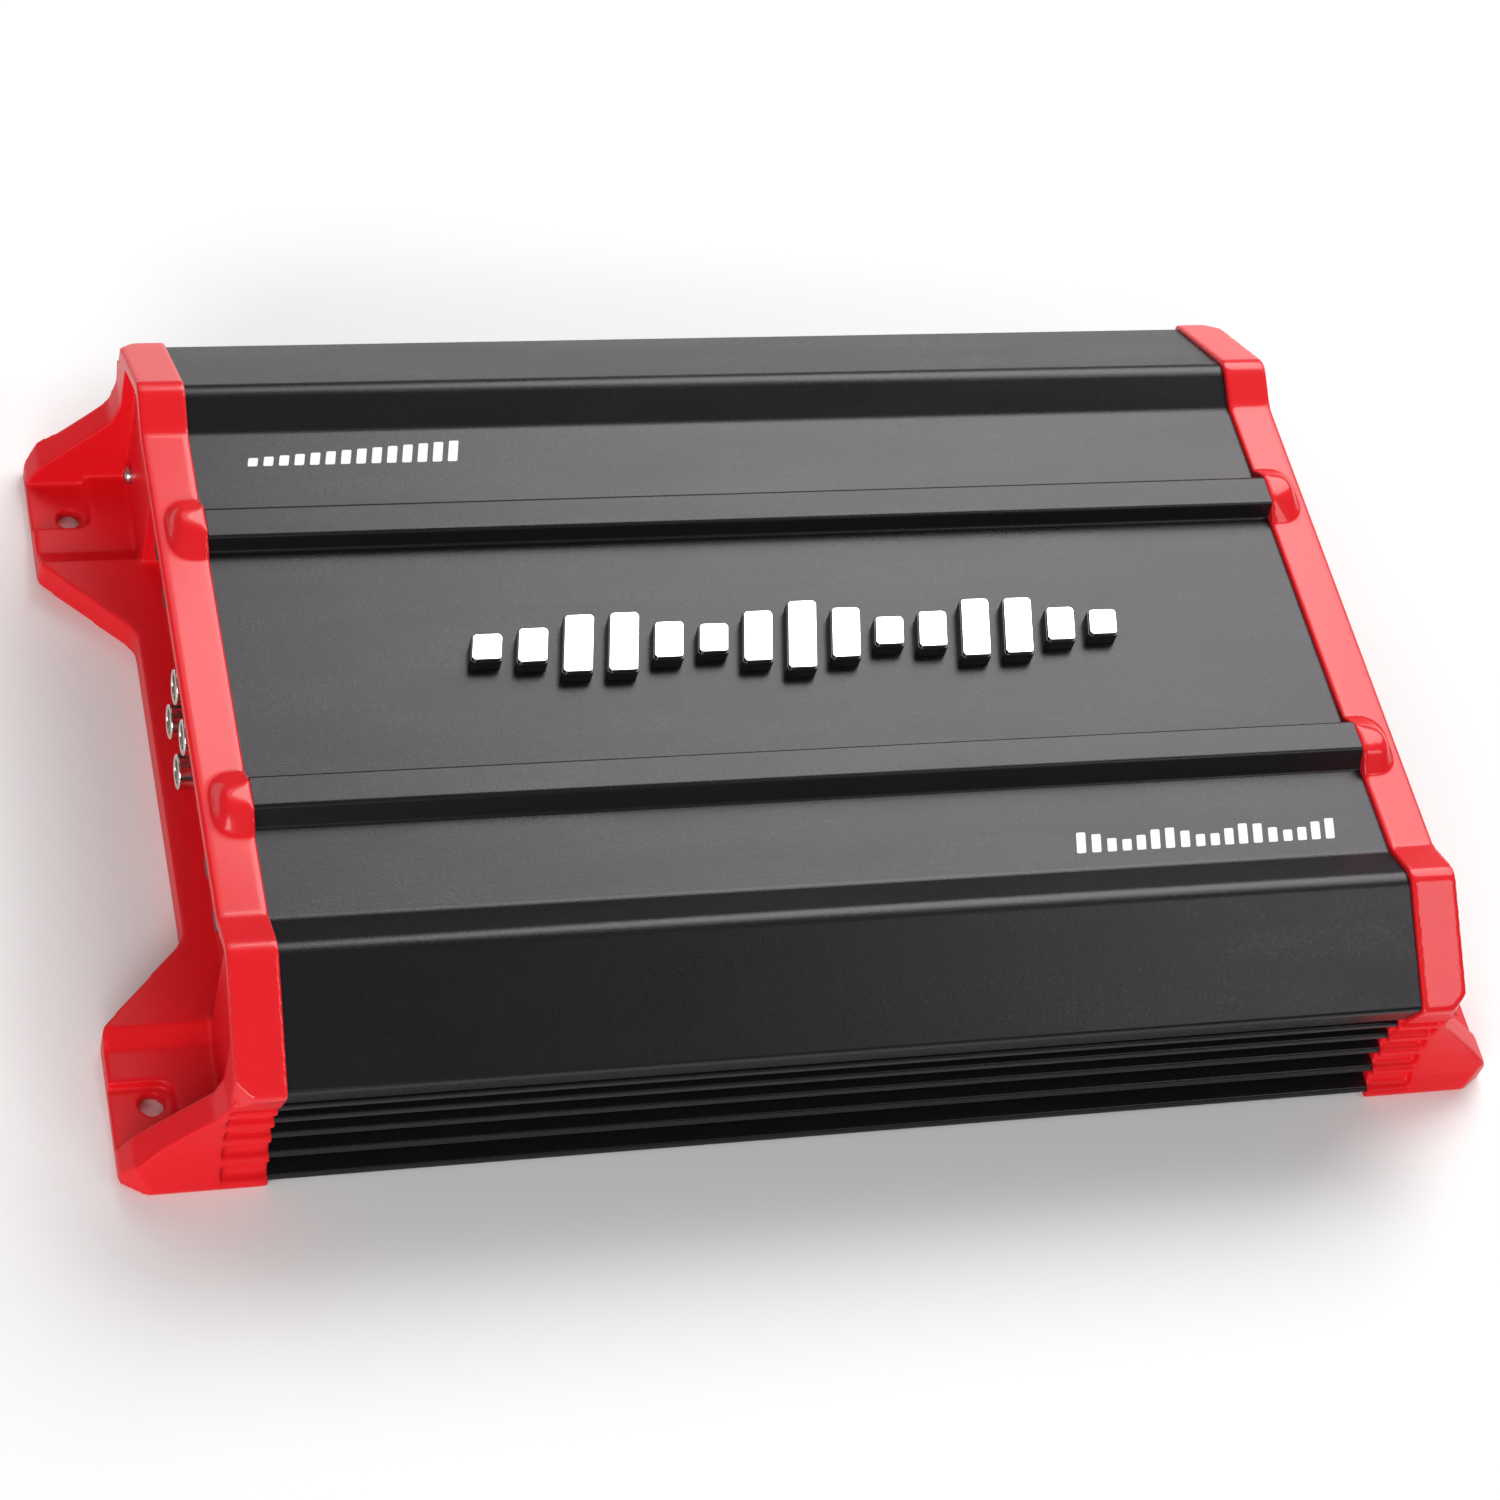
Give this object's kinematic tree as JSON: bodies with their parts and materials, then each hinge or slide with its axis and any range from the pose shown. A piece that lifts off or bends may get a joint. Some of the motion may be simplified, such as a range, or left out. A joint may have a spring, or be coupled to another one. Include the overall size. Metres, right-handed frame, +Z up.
{
  "type": "car amplifier",
  "caption": "Low black finned heatsink with long ribs, red moulded end caps with screw feet, phono inputs and level knobs at one end, power, fuse and speaker terminals at the other.",
  "frame": {"origin": "centre of the footprint, on the mounting plane under the feet", "axes": "+X along the extrusion towards the power and speaker end, +Y across it, +Z up out of the mounting plane"},
  "size_m": [0.323, 0.2096, 0.0558],
  "materials": {
    "black_anodised": "satin black anodised extrusion with a fine grain",
    "red_plastic": "glossy red moulded plastic",
    "black_sheet": "black powder-coated sheet steel",
    "circuit_board": "green solder mask on glass-epoxy board",
    "ferrite": "dark grey coated ferrite",
    "choke_coating": "yellow coated iron powder ring",
    "copper_wire": "enamelled copper wire",
    "capacitor_sleeve": "printed shrink sleeve over an aluminium can",
    "transistor_plastic": "black moulded epoxy",
    "thermal_pad": "grey silicone pad",
    "bar_aluminium": "plain mill-finish bar",
    "zinc_screw": "zinc-plated steel",
    "black_screw": "blackened steel",
    "brass_standoff": "turned brass",
    "black_plastic": "black moulded plastic",
    "nickel": "bright nickel plate",
    "white_plastic": "white moulded insulator",
    "pot_plastic": "blue moulded potentiometer case",
    "switch_steel": "tinned steel switch frame",
    "knob_plastic": "black fluted knob",
    "light_green": "green tinted lens",
    "fuse_plastic": "clear blade-fuse plastic",
    "emblem_black": "gloss black base",
    "emblem_chrome": "mirror chrome face"
  },
  "bodies": {
    "chassis": {"heatsink": "black_anodised", "left_end_cap": "red_plastic", "right_end_cap": "red_plastic", "input_panel": "black_sheet", "output_panel": "black_sheet", "bottom_plate": "black_sheet", "main_board": "circuit_board", "control_board": "circuit_board", "transformer_core": "ferrite", "transformer_winding": "copper_wire", "choke_core": "choke_coating", "choke_winding": "copper_wire", "filter_capacitors": "capacitor_sleeve", "signal_capacitors": "capacitor_sleeve", "power_transistors": "transistor_plastic", "insulator_pads": "thermal_pad", "far_clamp_bar": "bar_aluminium", "near_clamp_bar": "bar_aluminium", "clamp_screws": "zinc_screw", "left_cap_screws": "zinc_screw", "right_cap_screws": "zinc_screw", "bottom_screws": "black_screw", "board_standoffs": "brass_standoff", "board_screws": "zinc_screw", "phono_housing": "black_plastic", "phono_shells": "nickel", "phono_insulators": "white_plastic", "phono_contacts": "nickel", "potentiometers": "pot_plastic", "switch_bodies": "switch_steel", "status_lights": "light_green", "power_terminal_block": "black_plastic", "power_clamps": "nickel", "speaker_terminal_block": "black_plastic", "speaker_clamps": "nickel", "fuse_holder": "black_plastic", "emblem_base": "emblem_black", "emblem_face": "emblem_chrome"},
    "front_gain_knob": {"front_gain_knob": "knob_plastic"},
    "front_crossover_knob": {"front_crossover_knob": "knob_plastic"},
    "bass_boost_knob": {"bass_boost_knob": "knob_plastic"},
    "rear_crossover_knob": {"rear_crossover_knob": "knob_plastic"},
    "rear_gain_knob": {"rear_gain_knob": "knob_plastic"},
    "front_crossover_switch": {"front_crossover_switch": "knob_plastic"},
    "rear_crossover_switch": {"rear_crossover_switch": "knob_plastic"},
    "power_screw_1": {"power_screw_1": "nickel"},
    "power_screw_2": {"power_screw_2": "nickel"},
    "power_screw_3": {"power_screw_3": "nickel"},
    "speaker_screw_1": {"speaker_screw_1": "nickel"},
    "speaker_screw_2": {"speaker_screw_2": "nickel"},
    "speaker_screw_3": {"speaker_screw_3": "nickel"},
    "speaker_screw_4": {"speaker_screw_4": "nickel"},
    "speaker_screw_5": {"speaker_screw_5": "nickel"},
    "speaker_screw_6": {"speaker_screw_6": "nickel"},
    "speaker_screw_7": {"speaker_screw_7": "nickel"},
    "speaker_screw_8": {"speaker_screw_8": "nickel"},
    "fuse_1": {"fuse_1": "fuse_plastic"},
    "fuse_2": {"fuse_2": "fuse_plastic"}
  },
  "joints": [
    {"name": "front_gain_turn", "type": "hinge", "parent": "chassis", "child": "front_gain_knob", "pos_m": [-0.13, 0.051, 0.03], "axis": [-1, 0, 0], "range_deg": [-150, 150]},
    {"name": "front_crossover_turn", "type": "hinge", "parent": "chassis", "child": "front_crossover_knob", "pos_m": [-0.13, 0.037, 0.03], "axis": [-1, 0, 0], "range_deg": [-150, 150]},
    {"name": "bass_boost_turn", "type": "hinge", "parent": "chassis", "child": "bass_boost_knob", "pos_m": [-0.13, 0.023, 0.036], "axis": [-1, 0, 0], "range_deg": [-150, 150]},
    {"name": "rear_crossover_turn", "type": "hinge", "parent": "chassis", "child": "rear_crossover_knob", "pos_m": [-0.13, -0.038, 0.03], "axis": [-1, 0, 0], "range_deg": [-150, 150]},
    {"name": "rear_gain_turn", "type": "hinge", "parent": "chassis", "child": "rear_gain_knob", "pos_m": [-0.13, -0.052, 0.03], "axis": [-1, 0, 0], "range_deg": [-150, 150]},
    {"name": "front_crossover_switch_slide", "type": "slide", "parent": "chassis", "child": "front_crossover_switch", "axis": [0, 1, 0], "range_m": [-0.0022, 0.0022]},
    {"name": "rear_crossover_switch_slide", "type": "slide", "parent": "chassis", "child": "rear_crossover_switch", "axis": [0, 1, 0], "range_m": [-0.0022, 0.0022]},
    {"name": "power_screw_1_turn", "type": "hinge", "parent": "chassis", "child": "power_screw_1", "pos_m": [0.132, 0.0265, 0.03064], "axis": [1, 0, 0], "continuous": true},
    {"name": "power_screw_2_turn", "type": "hinge", "parent": "chassis", "child": "power_screw_2", "pos_m": [0.132, 0.0405, 0.03064], "axis": [1, 0, 0], "continuous": true},
    {"name": "power_screw_3_turn", "type": "hinge", "parent": "chassis", "child": "power_screw_3", "pos_m": [0.132, 0.0545, 0.03064], "axis": [1, 0, 0], "continuous": true},
    {"name": "speaker_screw_1_turn", "type": "hinge", "parent": "chassis", "child": "speaker_screw_1", "pos_m": [0.132, -0.0561, 0.02852], "axis": [1, 0, 0], "continuous": true},
    {"name": "speaker_screw_2_turn", "type": "hinge", "parent": "chassis", "child": "speaker_screw_2", "pos_m": [0.132, -0.0495, 0.02852], "axis": [1, 0, 0], "continuous": true},
    {"name": "speaker_screw_3_turn", "type": "hinge", "parent": "chassis", "child": "speaker_screw_3", "pos_m": [0.132, -0.0429, 0.02852], "axis": [1, 0, 0], "continuous": true},
    {"name": "speaker_screw_4_turn", "type": "hinge", "parent": "chassis", "child": "speaker_screw_4", "pos_m": [0.132, -0.0363, 0.02852], "axis": [1, 0, 0], "continuous": true},
    {"name": "speaker_screw_5_turn", "type": "hinge", "parent": "chassis", "child": "speaker_screw_5", "pos_m": [0.132, -0.0297, 0.02852], "axis": [1, 0, 0], "continuous": true},
    {"name": "speaker_screw_6_turn", "type": "hinge", "parent": "chassis", "child": "speaker_screw_6", "pos_m": [0.132, -0.0231, 0.02852], "axis": [1, 0, 0], "continuous": true},
    {"name": "speaker_screw_7_turn", "type": "hinge", "parent": "chassis", "child": "speaker_screw_7", "pos_m": [0.132, -0.0165, 0.02852], "axis": [1, 0, 0], "continuous": true},
    {"name": "speaker_screw_8_turn", "type": "hinge", "parent": "chassis", "child": "speaker_screw_8", "pos_m": [0.132, -0.0099, 0.02852], "axis": [1, 0, 0], "continuous": true},
    {"name": "fuse_1_pull", "type": "slide", "parent": "chassis", "child": "fuse_1", "axis": [1, 0, 0], "range_m": [0, 0.02]},
    {"name": "fuse_2_pull", "type": "slide", "parent": "chassis", "child": "fuse_2", "axis": [1, 0, 0], "range_m": [0, 0.02]}
  ]
}
